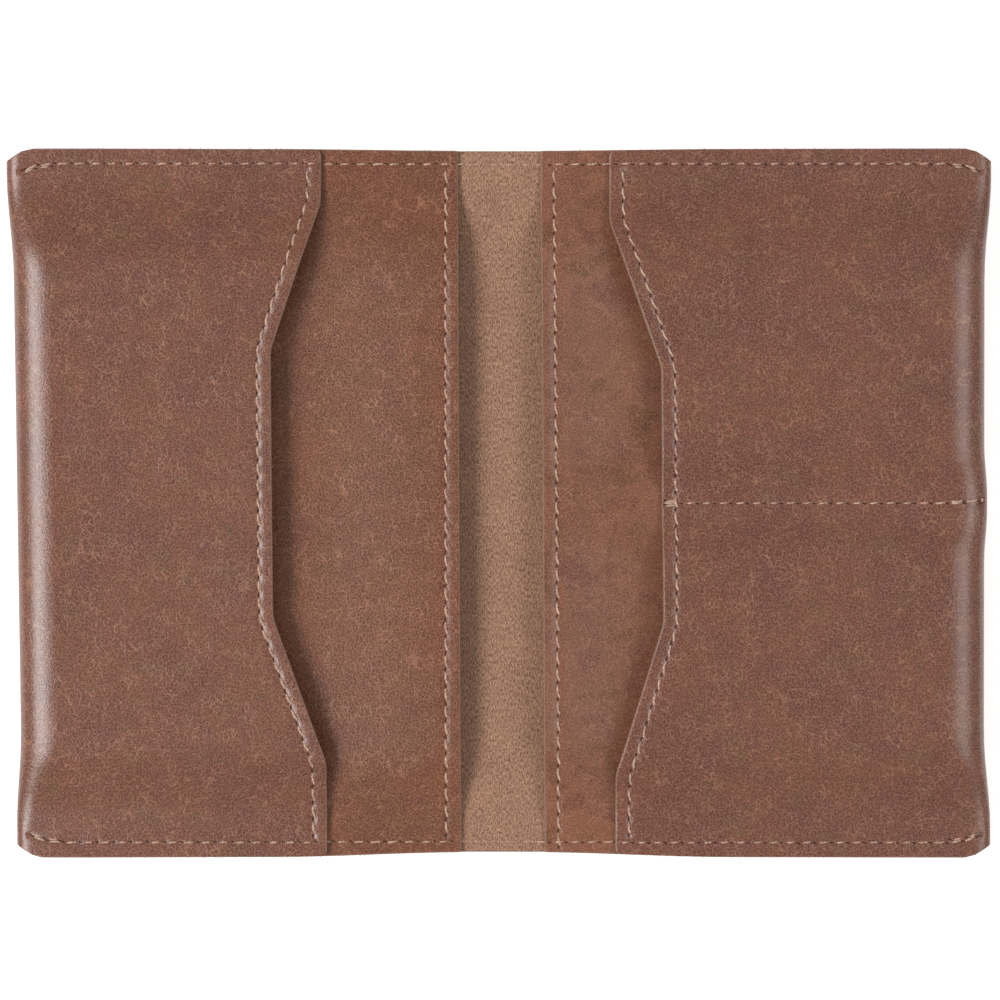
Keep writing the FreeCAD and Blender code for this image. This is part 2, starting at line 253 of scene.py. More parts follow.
threadLook = {"light": "#e6c4ad", "dark": "#8f6a56", "fibreMm": 0.3, "bumpMm": 0.02}


def bondedThread(name, values):
    # Three-ply bonded polyester thread, twisted: the plies are modelled, their filaments give a soft gloss.
    # The filaments' streaks are drawn far coarser than real ones, so that they show.
    material, tree = startMaterial(name)
    lie = addNode(tree, "UVMap", {"uv_map": "lieMm"}).outputs[0]       # the place on the flat piece, in mm
    filaments = addNode(tree, "TexNoise", {"Scale": 1 / values["fibreMm"], "Detail": 2}, {"Vector": lie})
    lightShare = addNode(tree, "MapRange", {"From Min": 0.35, "From Max": 0.6},
                         {"Value": filaments.outputs[0]})
    colour = addNode(tree, "Mix", {"data_type": "RGBA", 6: srgb(values["dark"]), 7: srgb(values["light"])},
                     {0: lightShare.outputs[0]})
    bump = addNode(tree, "Bump", {"Strength": 0.4, "Distance": values["bumpMm"] * mm},
                   {"Height": filaments.outputs[0]})
    surface = addNode(tree, "BsdfPrincipled", {"Roughness": 0.5, "Sheen Weight": 0.15},
                      {"Base Color": colour.outputs[2], "Normal": bump.outputs[0]})
    addNode(tree, "OutputMaterial", {}, {"Surface": surface.outputs[0]})
    return material


# painted shade for the needle holes: dark discs just above the leather, beside each stitch's end
holeShadeLook = {"shadeDark": "#35221a", "shadeFibres": "#553a2d", "fibreMm": 0.2, "halfLongMm": 0.4, "halfWideMm": 0.16,
        "corners": 8, "middleMm": 0.03, "edgeMm": 0.035,       # heights above the leather
        "onMm": 0.05, "asideMm": 0.1, "turn": 0.25}            # from the stitch's end, and its slant


def paintedHoleShade(name, values):
    # Painted shade in the slit a leather needle pushes through: a very dark brown disc, no shine, crushed
    # fibres mottled in.
    material, tree = startMaterial(name)
    lie = addNode(tree, "UVMap", {"uv_map": "lieMm"}).outputs[0]       # the place on the flat piece, in mm
    fibres = addNode(tree, "TexNoise", {"Scale": 1 / values["fibreMm"], "Detail": 2}, {"Vector": lie})
    colour = addNode(tree, "Mix", {"data_type": "RGBA", 6: srgb(values["shadeDark"]), 7: srgb(values["shadeFibres"])},
                     {0: fibres.outputs[0]})
    surface = addNode(tree, "BsdfPrincipled", {"Roughness": 0.95, "Specular IOR Level": 0.1},
                      {"Base Color": colour.outputs[2]})
    addNode(tree, "OutputMaterial", {}, {"Surface": surface.outputs[0]})
    return material


coverGrain = milledAniline("aniline leather, milled, cover", grain, (0, 0, 0))
panelGrain = {           # each panel is cut from another part of the hide, so its grain starts at another place; both are drawn lighter than the cover, the right one most
    "left": milledAniline("aniline leather, milled, left panel",
                          dict(grain, light="#744630", dark="#6c4230", specular=0.4), (211, 87, 0)),
    "right": milledAniline("aniline leather, milled, right panel",
                           dict(grain, light="#84553f", dark="#7b4f3d", specular=0.4), (-173, 120, 0)),
}
fleshSide = buffedFlesh("leather flesh side, buffed", flesh)
edgeRaw = cutEdge("leather edge, knife cut", rawEdge)
thread = bondedThread("polyester thread, twisted and bonded", threadLook)
# the needle holes' material is painted shade
holeShadeMaterial = paintedHoleShade("leather, pierced, painted hole shade", holeShadeLook)
print("materials made")


def makePiece(name, points, faces, lies, materials, kinds=None):
    # points are placed x, y, z in millimetres; lies has one place on the flat piece for each point
    mesh = bpy.data.meshes.new(name)
    mesh.from_pydata((points * mm).tolist(), [], faces)
    layer = mesh.uv_layers.new(name="lieMm")
    corner = np.zeros(len(mesh.loops), np.int32)
    mesh.loops.foreach_get("vertex_index", corner)
    layer.data.foreach_set("uv", np.asarray(lies, np.float32)[corner].ravel())
    for material in materials:
        mesh.materials.append(material)
    if kinds is not None:
        mesh.polygons.foreach_set("material_index", np.asarray(kinds, np.int32))
    mesh.polygons.foreach_set("use_smooth", np.ones(len(mesh.polygons), bool))
    mesh.update()
    piece = bpy.data.objects.new(name, mesh)
    bpy.context.scene.collection.objects.link(piece)
    return piece


rim = {"share": (0.1, 0.3, 0.7, 0.9), "bulgeMm": (0.15, 0.22, 0.22, 0.15)}      # rounding of a cut edge


def closedSheet(name, front, back, lies, side, materials, meetsSpine=False):
    # front and back are grids of rows by columns, and a rounded rim closes them. The first column has no
    # rounding where the two halves of the hide meet at the middle of the spine.
    rowCount, columnCount = front.shape[:2]
    total = rowCount * columnCount
    index = np.arange(total).reshape(rowCount, columnCount)
    border = np.concatenate([index[0, :], index[1:, -1], index[-1, -2::-1], index[-2:0:-1, 0]])
    acrossDirection = np.gradient(front, axis=1)
    alongDirection = np.gradient(front, axis=0)
    acrossDirection /= np.linalg.norm(acrossDirection, axis=2, keepdims=True)
    alongDirection /= np.linalg.norm(alongDirection, axis=2, keepdims=True)
    outward = np.zeros_like(front)
    outward[0] -= alongDirection[0]
    outward[-1] += alongDirection[-1]
    outward[:, -1] += acrossDirection[:, -1]
    if not meetsSpine:
        outward[:, 0] -= acrossDirection[:, 0]
    push = outward.reshape(-1, 3)[border]
    push /= np.maximum(np.linalg.norm(push, axis=1, keepdims=True), 1)
    upper, lower, lies = (grid.reshape(total, -1) for grid in (front, back, lies))
    run = np.concatenate([[0], np.cumsum(np.linalg.norm(np.diff(upper[border], axis=0), axis=1))])
    points, places = [upper, lower], [lies, lies]
    for share, bulge in zip(rim["share"], rim["bulgeMm"]):
        points.append(upper[border] * (1 - share) + lower[border] * share + push * bulge)
        places.append(np.stack([run, np.full(len(border), share * hideThick)], axis=1))
    quads = np.stack([index[:-1, :-1], index[:-1, 1:], index[1:, 1:], index[1:, :-1]], axis=2).reshape(-1, 4)
    faces = [quads, quads[:, ::-1] + total]
    steps = [2 * total + k * len(border) + np.arange(len(border)) for k in range(len(rim["share"]))]
    rings = [border] + steps + [border + total]
    for ring, following in zip(rings, rings[1:]):
        faces.append(np.stack([ring, following, np.roll(following, -1), np.roll(ring, -1)], axis=1))
    kinds = np.repeat([0, 1, 2], [len(quads), len(quads), sum(len(f) for f in faces[2:])])
    faces = np.concatenate(faces)
    placed = np.concatenate(points) * (side, 1, 1)
    a, b, c, d = (placed[faces[:, k]] for k in range(4))
    if (a * (np.cross(b, c) + np.cross(c, d))).sum() < 0:       # every face looks outwards
        faces = faces[:, ::-1]
    piece = makePiece(name, placed, faces.tolist(), np.concatenate(places), materials, kinds)
    if meetsSpine:
        sharp = piece.data.attributes.new("sharp_edge", "BOOLEAN", "EDGE")
        ends = np.zeros(len(piece.data.edges) * 2, np.int32)
        piece.data.edges.foreach_get("vertices", ends)
        sharp.data.foreach_set("value", np.abs(placed[ends.reshape(-1, 2), 0]).max(axis=1) < 1e-6)
    return piece


def press(grid, spots, depth, radius, above=-1.0):
    # lowers a grid round spots, which are (X, y) places, where it is higher than above
    tree = KDTree(len(spots))
    for k, (x, y) in enumerate(spots):
        tree.insert((x, y, 0), k)
    tree.balance()
    for line in grid:
        for point in line:
            away = tree.find((point[0], point[1], 0))[2]
            if away < 3 * radius and point[2] > above:
                point[2] -= depth * math.exp(-(away / radius) ** 2)


def spaced(path, step):
    # even steps, as near to step as the path of (X, y) points allows
    path = np.asarray(path, float)
    run = np.concatenate([[0], np.cumsum(np.linalg.norm(np.diff(path, axis=0), axis=1))])
    places = np.linspace(0, run[-1], round(run[-1] / step) + 1)
    return np.stack([np.interp(places, run, path[:, k]) for k in range(2)], axis=1)


hide = {
    "bendMm": 4.6,           # the spine's turn reaches this far on each side of a fold line
    "foldRound": 1.9,        # how much wider than tall half of the turned edge is
    "dishMm": 0.35,          # the flap's middle sags this much
    "dishToMm": 90, "wavesMm": 0.05, "waveLengthMm": 24,
    "coverMm": 1.1, "flapMm": 0.55, "mouthMm": 0.31, "mouthBandMm": 5,         # mesh steps
    "flatMm": 80, "turnMm": 83.5, "foldFromMm": 84.5, "turnSteps": 27,
    "measureAtMm": 70, "squareMm": 67,          # where the frame's height and reach are measured
    "sagTopMm": 0.35, "sagBottomMm": 0.95,      # the cut edges draw in towards the spine
    "sagFromMm": 45, "sagToMm": 6, "cornerMm": (4.0, 2.4), "cornerStartMm": 60,
    "trimMm": {"left": (0.5, -0.1), "right": (-0.5, -0.5)},     # a hand-cut hide's edges, top and bottom
}
rowSteps = {"middleMm": 0.55, "seamMm": 0.3, "seamFromMm": 64,
            "edgeMm": (1.0, 0.75, 0.5, 0.3, 0.15, 0.05, 0.0)}
insideMm = 0.03          # the cut edges of the frame are measured this far in


def rowPlaces():
    middle = np.arange(0, rowSteps["seamFromMm"], rowSteps["middleMm"])
    seam = np.arange(rowSteps["seamFromMm"], halfWidth - 1, rowSteps["seamMm"])
    upper = np.concatenate([middle, seam, halfWidth - np.array(rowSteps["edgeMm"])])
    return np.concatenate([-upper[:0:-1], upper])


rows = rowPlaces()


def edgeLimit(x, sign, reach):
    # how far from the middle the cut edge is at x: sag towards the spine, and the slanted corners
    sag = hide["sagTopMm"] if sign > 0 else hide["sagBottomMm"]
    limit = halfWidth - sag * (1 - smooth((x - hide["sagToMm"]) / (hide["sagFromMm"] - hide["sagToMm"])))
    across, down = hide["cornerMm"]
    return limit - np.clip((x - (reach - across)) / across, 0, 1) * down


def drawIn(grid, reach):
    # moves a grid's outer rows to the cut edges
    x, y = grid[..., 0], grid[..., 1]
    start = hide["cornerStartMm"]
    for sign in (1, -1):
        outer = sign * y > start
        limit = edgeLimit(x, sign, np.broadcast_to(reach[:, None], x.shape))
        moved = start + (sign * y - start) * (limit - start) / (halfWidth - start)
        y[outer] = sign * moved[outer]


def sectionOf(name, side):
    # for each row, from the frame: the flap's height, its mouth's X and the turned edge's X
    flapTree, foldTree = cadTree(name + "_pocket_flap"), cadTree(name + "_edge_fold")
    trimTop, trimBottom = hide["trimMm"][name]
    section = []
    for y in rows:
        inside = min(max(y, insideMm - halfWidth), halfWidth - insideMm)
        top = cast(flapTree, (side * hide["measureAtMm"], inside, skyMm), (0, 0, -1)).z
        mouth = cast(flapTree, (0, inside, top - hideThick / 2), (side, 0, 0)).x * side
        square = min(max(y, -hide["squareMm"]), hide["squareMm"])
        foldTop = cast(flapTree, (side * hide["measureAtMm"], square, skyMm), (0, 0, -1)).z
        reach = cast(foldTree, (side * 130, square, foldTop / 2), (-side, 0, 0)).x * side
        reach += trimBottom + (trimTop - trimBottom) * (y + halfWidth) / (2 * halfWidth)
        section.append((top, mouth, reach))
    return np.array(section).T


def wave(x, y, seed):
    point = Vector((x / hide["waveLengthMm"], y / hide["waveLengthMm"], seed))
    return noise.noise(point) + 0.4 * noise.noise(point * 2.3)


def freeShare(y):
    # nothing next to the seams, where the leather is held, and all of it further in
    return np.clip((halfWidth - 5 - np.abs(y)) / 15, 0, 1)


def hideGrids(side, tops, mouths, reaches):
    # the grain side and the flesh side, each row from the middle of the spine out, round the fold and back
    grainSide, fleshGrid, lies = [], [], []
    turnMm, bandMm = hide["turnMm"], hide["mouthBandMm"]
    flapColumns = int((turnMm + 0.5 - mouths.min() - bandMm) / hide["flapMm"])
    bandColumns = int(bandMm / hide["mouthMm"])
    turns = np.linspace(-math.pi / 2, math.pi / 2, hide["turnSteps"])
    for y, top, mouth, reach in zip(rows, tops, mouths, reaches):
        tall = top / 2
        wide = min(tall * hide["foldRound"], reach - hide["foldFromMm"])
        centre = reach - wide
        flat = np.concatenate([np.arange(0, hide["flatMm"], hide["coverMm"]),
                               np.linspace(hide["flatMm"], centre, 9)[:-1]])
        back = np.concatenate([
            np.linspace(centre, turnMm, 6)[1:],
            np.linspace(turnMm, mouth + bandMm, flapColumns + 1)[1:],
            np.linspace(mouth + bandMm, mouth, bandColumns + 1)[1:]])
        across = (back - mouth) / (hide["dishToMm"] - mouth)
        dish = hide["dishMm"] * 4 * across * (1 - across) * (1 - (y / halfWidth) ** 2)
        waves = np.array([wave(x, y, 3.1 * side) for x in back]) * hide["wavesMm"] * freeShare(y)
        sections = []
        for thick in (0, hideThick):
            sections.append(np.concatenate([
                np.stack([flat, np.full_like(flat, thick)], 1),
                np.stack([centre + (wide - thick) * np.cos(turns), tall + (tall - thick) * np.sin(turns)], 1),
                np.stack([back, top - thick - dish + waves], 1)]))
        run = np.concatenate([[0], np.cumsum(np.linalg.norm(np.diff(sections[0], axis=0), axis=1))])
        for store, section in zip((grainSide, fleshGrid), sections):
            store.append(np.stack([section[:, 0], np.full(len(section), y), section[:, 1]], 1))
        lies.append(np.stack([run * side, np.full(len(run), y)], 1))
    return np.array(grainSide), np.array(fleshGrid), np.array(lies), len(flat)


panels = {
    "thickMm": 0.9, "columnMm": 1.2, "edgeColumnMm": 0.4, "edgeBandMm": 5, "endMm": 88.5, "easePasses": 450,
    "right": {"edge": (8.0, 8.8), "hem": ((10.4, 66.2), (11.4, -68.5))},       # X at the top and the bottom
    "left": {"edge": (8.8, 8.1), "hem": ((11.0, 66.2), (10.9, -66.2))},
}


def panelGrids(name, side):
    tree = cadTree(name + "_passport_panel")
    top, bottom = panels[name]["edge"]
    front = []
    for y in rows:
        inside = min(max(y, insideMm - halfWidth), halfWidth - insideMm)
        edge = bottom + (top - bottom) * (y + halfWidth) / (2 * halfWidth)
        columns = np.concatenate([
            np.arange(0, panels["edgeBandMm"], panels["edgeColumnMm"]),
            np.arange(panels["edgeBandMm"], panels["endMm"] - edge - 1, panels["columnMm"]),
            [panels["endMm"] - edge - 0.02]])
        heights = [cast(tree, (side * max(x, edge + 0.05), inside, skyMm), (0, 0, -1)).z
                   for x in edge + columns]
        front.append(np.stack([edge + columns, np.full(len(columns), y), heights], 1))
    count = min(len(line) for line in front)
    front = np.array([np.concatenate([line[:count - 1], line[-1:]]) for line in front])
    lies = front[..., :2].copy()
    heights = front[..., 2]
    step = panels["edgeColumnMm"]
    even = [np.arange(line[0], line[-1] + step, step) for line in front[..., 0]]
    count = min(len(places) for places in even)
    eased = np.array([np.interp(places[:count], line[:, 0], line[:, 2]) for places, line in zip(even, front)])
    for _ in range(panels["easePasses"]):        # eases the crest line that the plain solid has
        eased[:, 1:-1] += 0.25 * (eased[:, :-2] - 2 * eased[:, 1:-1] + eased[:, 2:])
    heights[:] = [np.interp(line, places[:count], easy)
                  for line, places, easy in zip(front[..., 0], even, eased)]
    waves = np.array([[wave(x, y, 7.7 + side) for x, y, _ in line] for line in front])
    heights += waves * hide["wavesMm"] * freeShare(front[..., 1])
    back = front.copy()
    back[..., 2] -= panels["thickMm"]
    return front, back, lies


stitch = {"plies": 3, "plyMm": 0.122, "apart": 1.12, "twistMm": 1.15, "segments": 15, "cornersRound": 5,
          "riseMm": 0.14, "diveMm": 0.5, "startMm": 0.1, "gapMm": 0.3}
rowLooks = {      # lean: how far a stitch's end swings aside; arch: low rises at once, high in the middle
    "seam": {"lean": 0.18, "arch": 0.95, "thick": 0.8}, "hem": {"lean": 0.34, "arch": 0.45, "thick": 1.0},
    "divider": {"lean": 0.17, "arch": 0.8, "thick": 0.85}, "back": {"lean": 0.0, "arch": 0.5, "thick": 1.0}}


def tube(path, radius, corners):
    # rings of points round a path
    along = np.gradient(path, axis=0)
    along /= np.linalg.norm(along, axis=1, keepdims=True)
    aside = np.cross(along, [0.0, 0.0, 1.0])
    aside /= np.maximum(np.linalg.norm(aside, axis=1, keepdims=True), 1e-9)
    up = np.cross(aside, along)
    turns = np.arange(corners) * 2 * math.pi / corners
    return path[:, None] + radius * (np.cos(turns)[None, :, None] * aside[:, None]
                                     + np.sin(turns)[None, :, None] * up[:, None])


def tubeFaces(count, corners, offset):
    faces = []
    for k in range(count - 1):
        for n in range(corners):
            m = (n + 1) % corners
            faces.append([offset + k * corners + n, offset + k * corners + m,
                          offset + (k + 1) * corners + m, offset + (k + 1) * corners + n])
    faces.append([offset + n for n in range(corners)][::-1])
    faces.append([offset + (count - 1) * corners + n for n in range(corners)])
    return faces


def stitchPlies(start, end, up, swing, look, rng):
    # the plies of one stitch from hole to hole; up is 1 on a needle side and -1 on a bobbin side
    t = np.linspace(0, 1, stitch["segments"])
    path = start[None] * (1 - t)[:, None] + end[None] * t[:, None]
    aside = np.array([end[1] - start[1], start[0] - end[0], 0]) / np.linalg.norm((end - start)[:2])
    path -= aside * (swing * (smooth((t - 0.4) / 0.6) * 1.2 - 0.2))[:, None]
    arch = np.sin(math.pi * t) ** look["arch"]
    path[:, 2] += up * (-stitch["diveMm"] + (stitch["diveMm"] + stitch["riseMm"]) * arch)
    length = np.linalg.norm(end - start)
    along = (end - start) / length
    acrossDirection = np.cross(along, [0, 0, 1.0])
    acrossDirection /= np.linalg.norm(acrossDirection)
    upDirection = np.cross(acrossDirection, along)
    phase = rng.random() * 2 * math.pi
    spread = stitch["plyMm"] * look["thick"] * stitch["apart"]
    strands = []
    for ply in range(stitch["plies"]):
        angle = (phase + 2 * math.pi * (ply / stitch["plies"] + t * length / stitch["twistMm"]))[:, None]
        strands.append(path + spread * (np.cos(angle) * acrossDirection + np.sin(angle) * upDirection))
    return strands


def threadPiece(name, runs, side, rng):
    # runs is a list of (start, end, up, swing, look) with points in outward millimetres
    points, faces, lies = [], [], []
    offset = 0
    for start, end, up, swing, look in runs:
        for strand in stitchPlies(np.asarray(start, float), np.asarray(end, float), up, swing, look, rng):
            rings = tube(strand, stitch["plyMm"] * look["thick"], stitch["cornersRound"])
            count, corners = rings.shape[:2]
            faces += tubeFaces(count, corners, offset)
            points.append(rings.reshape(-1, 3))
            along = np.repeat(strand[:, 0] + strand[:, 1], corners)
            lies.append(np.stack([along, np.tile(np.arange(corners) * 0.17, count)], 1))
            offset += count * corners
    placed = np.concatenate(points) * (side, 1, 1)
    if side > 0:
        faces = [face[::-1] for face in faces]
    return makePiece(name, placed, faces, np.concatenate(lies), [thread])


def stitchRuns(holes, tree, look, side, sink=0.0):
    # one run from each hole to the next, at the leather's height
    runs = []
    for a, b in zip(holes, holes[1:]):
        along = (b - a) / np.linalg.norm(b - a)
        ends = [(x, y, stand(tree, x, y) - sink)
                for x, y in (a + along * stitch["startMm"], b - along * stitch["gapMm"])]
        runs.append((ends[0], ends[1], 1, look["lean"] * side, look))
    return runs


def holeShadeSpots(runs):
    # where the painted shade of the needle hole at each run's end goes, as (X, y, angle)
    spots = []
    for a, b, _, swing, _ in runs:
        if b[0] < seams["napToMm"]:      # the nap of the bare spine closes over the needle holes
            continue
        angle = math.atan2(b[1] - a[1], b[0] - a[0])
        back = math.copysign(holeShadeLook["asideMm"], swing)
        spots.append((b[0] + holeShadeLook["onMm"] * math.cos(angle) + back * math.sin(angle),
                      b[1] + holeShadeLook["onMm"] * math.sin(angle) - back * math.cos(angle),
                      angle - math.copysign(holeShadeLook["turn"], swing)))
    return spots


def holeShadePiece(name, spots, tree, side):
    # a dark disc of painted shade at each needle hole
    points, faces, lies = [], [], []
    corners = holeShadeLook["corners"]
    for x, y, angle in spots:
        base = len(points)
        along = np.array([math.cos(angle), math.sin(angle)])
        aside = np.array([-along[1], along[0]])
        lies.append(np.array([x, y]))
        points.append((x, y, stand(tree, x, y) + holeShadeLook["middleMm"]))
        for turn in np.arange(corners) * 2 * math.pi / corners:
            place = lies[base] + along * holeShadeLook["halfLongMm"] * math.cos(turn) \
                + aside * holeShadeLook["halfWideMm"] * math.sin(turn)
            points.append((place[0], place[1], stand(tree, *place) + holeShadeLook["edgeMm"]))
            lies.append(place)
        faces += [[base, base + 1 + k, base + 1 + (k + 1) % corners] for k in range(corners)]
    if side < 0:
        faces = [face[::-1] for face in faces]
    return makePiece(name, np.array(points) * (side, 1, 1), faces, np.array(lies), [holeShadeMaterial])


fibres = {"edgeCount": 170, "mouthCount": 70, "lengthMm": (0.2, 0.6), "radiusMm": 0.035, "curl": 0.5,
          "points": 5, "corners": 3, "lowestMm": 0.45, "hideEndMm": 5}


def fibrePiece(name, roots, side, rng):
    # stray fibres that stand out from a raw edge: roots are (point, outward direction)
    points, faces = [], []
    count, corners = fibres["points"], fibres["corners"]
    t = np.linspace(0, 1, count)[:, None]
    for k, (root, outward) in enumerate(roots):
        length = rng.uniform(*fibres["lengthMm"])
        curl = np.array([rng.uniform(-1, 1), rng.uniform(-1, 1), rng.uniform(-0.6, 0.6)]) * fibres["curl"]
        line = np.asarray(root) + outward * length * t + curl * length * t ** 2
        points.append(tube(line, fibres["radiusMm"], corners).reshape(-1, 3))
        faces += tubeFaces(count, corners, k * count * corners)
    points = np.concatenate(points)
    return makePiece(name, points * (side, 1, 1), faces, points[:, :2], [edgeRaw])


def fibreRoots(tree, grainSide, reaches, rng):
    roots = []
    for _ in range(fibres["edgeCount"]):
        sign = rng.choice((1, -1))
        x = rng.uniform(0, reaches.max() - fibres["hideEndMm"])
        y = sign * float(edgeLimit(np.array(x), sign, reaches.max()))
        z = max(stand(tree, x, y - sign * 0.3) - rng.uniform(0.1, 1.0), fibres["lowestMm"])
        roots.append(((x, y, z), np.array([0, sign, 0.0])))
    for _ in range(fibres["mouthCount"]):
        row = rng.randrange(len(rows))
        roots.append((grainSide[row, -1] - np.array([0, 0, rng.uniform(0.1, 1.1)]), np.array([-1, 0, 0.0])))
    return roots


seams = {
    "sinkMm": 0.12, "sinkRadiusMm": 0.7, "holeMm": 0.22, "holeRadiusMm": 0.45,
    "grooveMm": 0.42, "grooveRadiusMm": 0.5,    # outside
    "backMm": 0.43,          # the bobbin thread's height in the groove
    "flapFromMm": 1.6,       # lower than this, under the flap, is the cover's outside
    "hemInsetMm": 2.5, "hemStopMm": 66.2,
    "endShortMm": 0.2, "endRunMm": 4.2, "endDropMm": 1.5,        # a seam runs in past the cut corner
    "napToMm": 8.2, "napMm": 0.06, "tackSinkMm": 0.1,
}
divider = {
    "beforeMm": 0.3, "pastMm": 3.4, "tackSinkMm": -0.12,
    "startTacks": (((2.9, 0.38), (0.2, 0.42)), ((0.1, 0.02), (2.9, -0.1)), ((2.9, -0.5), (0.15, -0.44))),
    "endTacks": (((-6.4, 0.3), (-3.3, 0.35), (-0.3, 0.5)), ((-0.2, 0.2), (0.5, 1.2))),
}


def seamPath(name, sign):
    # a seam's line from the spine's centre to the outer end
    low, high = boxMm(f"{name}_{'top' if sign > 0 else 'bottom'}_seam_needle_thread")
    end = max(abs(low.x), abs(high.x)) - seams["endShortMm"]
    return [(0, sign * seamY), (end - seams["endRunMm"], sign * seamY),
            (end, sign * (seamY - seams["endDropMm"]))]


def hemPath(mouths):
    line = np.stack([mouths, rows], 1)
    along = np.gradient(line, axis=0)
    along /= np.linalg.norm(along, axis=1, keepdims=True)
    line = line + seams["hemInsetMm"] * np.stack([along[:, 1], -along[:, 0]], 1)
    return line[np.abs(line[:, 1]) <= seams["hemStopMm"]][::-1]


def stitchPaths(name, mouths):
    paths = {"top_seam": seamPath(name, 1), "bottom_seam": seamPath(name, -1), "flap_hem": hemPath(mouths),
             "panel_hem": panels[name]["hem"]}
    if name == "right":
        low, high = boxMm("right_card_divider_needle_thread")
        paths["card_divider"] = [(low.x - divider["beforeMm"], 0.0), (high.x + divider["pastMm"], 0.0)]
    return paths


def pressStitches(paths, holes, grainSide, fleshGrid, panelFront, coverColumns):
    # the thread pulls the leather down along each row, and a little more at each needle hole
    near = 0.4
    groove = np.concatenate([spaced(paths[row], near) for row in ("top_seam", "bottom_seam")])
    flapRows = [row for row in ("flap_hem", "card_divider") if row in paths]
    pierced = [holes["top_seam"], holes["bottom_seam"]] + [holes[row] for row in flapRows[1:]]
    for grid, rowsHere, holesHere, above in (
            (grainSide[:, coverColumns:], [spaced(paths[row], near) for row in flapRows],
             pierced + [holes["flap_hem"]], seams["flapFromMm"]),
            (panelFront, [spaced(paths["panel_hem"], near)], pierced + [holes["panel_hem"]], -1.0),
            (fleshGrid[:, :12], [], pierced, -1.0)):
        press(grid, np.concatenate([groove] + rowsHere), seams["sinkMm"], seams["sinkRadiusMm"], above)
        press(grid, np.concatenate(holesHere), seams["holeMm"], seams["holeRadiusMm"], above)
    press(grainSide[:, :coverColumns + 8], groove, -seams["grooveMm"], seams["grooveRadiusMm"])


def backtacks(row, holes, mouths):
    # the stitches sewn back over a row's ends to lock it
    if row.endswith("seam"):
        sign = 1 if row == "top_seam" else -1
        last = holes[row][-3:]
        return [last[::-1] + (0.1, -sign * 0.45), last[1:] + (-0.5, sign * 0.3)]
    if row == "card_divider":
        edge, end = float(np.interp(0, rows, mouths)), holes[row][-1][0]
        return [np.array(tack) + (edge, 0) for tack in divider["startTacks"]] + [
            np.array(tack) + (end, 0) for tack in divider["endTacks"]]
    return []


def sewRow(name, row, holes, mouths, tree, side, rng):
    # one row's needle and bobbin threads, and where its needle holes' painted shade goes
    look = rowLooks["divider" if row == "card_divider" else row.split("_")[-1]]
    sink = divider["tackSinkMm"] if row == "card_divider" else seams["tackSinkMm"]
    runs = stitchRuns(holes[row], tree, look, side)
    for tack in backtacks(row, holes, mouths):
        runs += stitchRuns(tack, tree, look, side, sink)
    replaced = [f"{name}_{row}_{{}}_thread"]
    if row.endswith("seam"):
        replaced.append(f"spine_{row}_{{}}_thread")
        nap = seams["napMm"]             # the nap of the bare spine swallows part of a stitch
        runs = [((a[0], a[1], a[2] - nap), (b[0], b[1], b[2] - nap), *rest) if b[0] < seams["napToMm"]
                else (a, b, *rest) for a, b, *rest in runs]
        lower = [((a[0], a[1], seams["backMm"]), (b[0], b[1], seams["backMm"])) for a, b, *_ in runs]
    else:
        thick = {"flap_hem": hideThick, "panel_hem": panels["thickMm"],
                 "card_divider": hideThick + panels["thickMm"]}[row]
        lower = [((a[0], a[1], a[2] - thick), (b[0], b[1], b[2] - thick)) for a, b, *_ in runs]
    needle = threadPiece(f"{name}_{row}_stitches", runs, side, rng)
    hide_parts(*[node.format("needle") for node in replaced])
    bobbin = threadPiece(f"{name}_{row}_back_stitches", [(a, b, -1, 0, rowLooks["back"]) for a, b in lower],
                         side, rng)
    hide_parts(*[node.format("bobbin") for node in replaced])
    return [needle, bobbin], holeShadeSpots(runs)


def bendAtFold(piece):
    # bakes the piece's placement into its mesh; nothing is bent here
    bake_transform(piece)


def buildHalf(name, side):
    rng = random.Random(11 + side)
    tops, mouths, reaches = sectionOf(name, side)
    grainSide, fleshGrid, hideLies, coverColumns = hideGrids(side, tops, mouths, reaches)
    panelFront, panelBack, panelLies = panelGrids(name, side)
    for grid in (grainSide, fleshGrid, panelFront, panelBack):
        drawIn(grid, reaches)
    paths = stitchPaths(name, mouths)
    holes = {row: spaced(path, pitch) for row, path in paths.items()}
    pressStitches(paths, holes, grainSide, fleshGrid, panelFront, coverColumns)

    hidePiece = closedSheet(name + "_cover_and_flap", grainSide, fleshGrid, hideLies, side,
                            [coverGrain, fleshSide, edgeRaw], meetsSpine=True)
    panelPiece = closedSheet(name + "_panel", panelFront, panelBack, panelLies, side,
                             [panelGrain[name], fleshSide, edgeRaw])
    print(name, "leather", len(hidePiece.data.polygons), len(panelPiece.data.polygons))

    tree = gridTree(grainSide[:, coverColumns:], panelFront, fleshGrid[:, :12])
    pieces, spots = [hidePiece, panelPiece], []
    for row in paths:
        threads, holeShadeSpotsHere = sewRow(name, row, holes, mouths, tree, side, rng)
        pieces += threads
        spots += holeShadeSpotsHere
    # painted shade at the needle holes, and stray fibres along the raw edges
    small = [holeShadePiece(name + "_needle_holes", spots, tree, side),
             fibrePiece(name + "_edge_fibres", fibreRoots(tree, grainSide, reaches, rng), side, rng)]
    print(name, "sewn,", len(spots), "needle holes show")

    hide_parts(name + "_cover", name + "_edge_fold", name + "_pocket_flap", "spine_cover")
    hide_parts(name + "_passport_panel")
    for piece in pieces + small:
        bendAtFold(piece)
    print(name, "half built,", len(pieces + small), "pieces")


for name, side in sides.items():
    buildHalf(name, side)


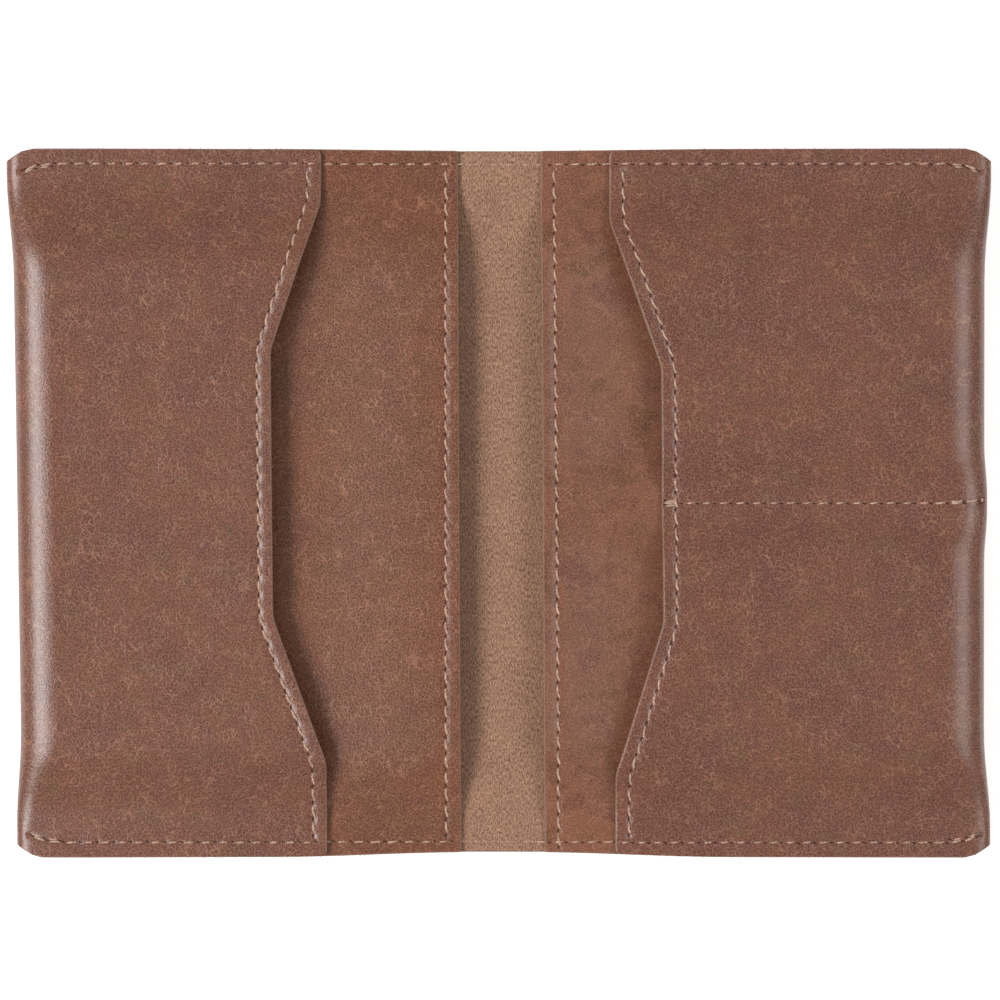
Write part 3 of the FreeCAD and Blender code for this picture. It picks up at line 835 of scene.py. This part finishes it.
studio = {"floor": "#dededd", "floorGlow": 0.86, "floorMm": 3000, "floorDropMm": 0.3,
          "frameMm": 198.3, "lens": 135, "sensor": 36, "aimMm": (-0.25, 0.6, 2.0), "fill": 0.38}
lamps = {         # degrees up from the floor, degrees round from the right, and the sizes along and up
    "left softbox": {"watts": 6.3, "up": 49, "round": 188, "awayMm": 900, "sizeMm": (900, 330)},
    "right softbox": {"watts": 1.6, "up": 50, "round": 0, "awayMm": 800, "sizeMm": (800, 260)},
}


def cameraAbove():
    lens = bpy.data.cameras.new("overhead camera")
    lens.lens = studio["lens"]
    lens.sensor_width = studio["sensor"]
    lens.clip_end = 10
    camera = bpy.data.objects.new("overhead camera", lens)
    x, y, z = (part * mm for part in studio["aimMm"])
    camera.location = (x, y, z + studio["frameMm"] * mm * studio["lens"] / studio["sensor"])
    bpy.context.scene.collection.objects.link(camera)
    bpy.context.scene.camera = camera


def softbox(name, values):
    lamp = bpy.data.lights.new(name, "AREA")
    lamp.shape = "RECTANGLE"
    lamp.size, lamp.size_y = (size * mm for size in values["sizeMm"])
    lamp.energy = values["watts"]
    box = bpy.data.objects.new(name, lamp)
    up, turn = math.radians(values["up"]), math.radians(values["round"])
    towards = Vector((math.cos(up) * math.cos(turn), math.cos(up) * math.sin(turn), math.sin(up)))
    box.location = towards * values["awayMm"] * mm
    box.rotation_euler = towards.to_track_quat("Z", "Y").to_euler()
    bpy.context.scene.collection.objects.link(box)


def floorPlane():
    # a plain card that glows a little, so that it stays pale in the object's shadow
    mesh = bpy.data.meshes.new("studio floor")
    reach, z = studio["floorMm"] * mm, -studio["floorDropMm"] * mm
    mesh.from_pydata([(-reach, -reach, z), (reach, -reach, z), (reach, reach, z), (-reach, reach, z)], [],
                     [(0, 1, 2, 3)])
    floor = bpy.data.objects.new("studio_floor", mesh)
    bpy.context.scene.collection.objects.link(floor)
    material = bpy.data.materials.new("matt card")
    material.use_nodes = True
    shader = material.node_tree.nodes["Principled BSDF"]
    shader.inputs["Base Color"].default_value = srgb(studio["floor"])
    shader.inputs["Roughness"].default_value = 0.9
    shader.inputs["Emission Color"].default_value = srgb(studio["floor"])
    shader.inputs["Emission Strength"].default_value = studio["floorGlow"]
    mesh.materials.append(material)


cameraAbove()
for name, values in lamps.items():
    softbox(name, values)
floorPlane()
world = bpy.data.worlds.new("studio")
world.use_nodes = True
world.node_tree.nodes["Background"].inputs[0].default_value = (1, 1, 1, 1)
world.node_tree.nodes["Background"].inputs[1].default_value = studio["fill"]
bpy.context.scene.world = world
bpy.context.scene.view_settings.view_transform = "Standard"
print("studio set")
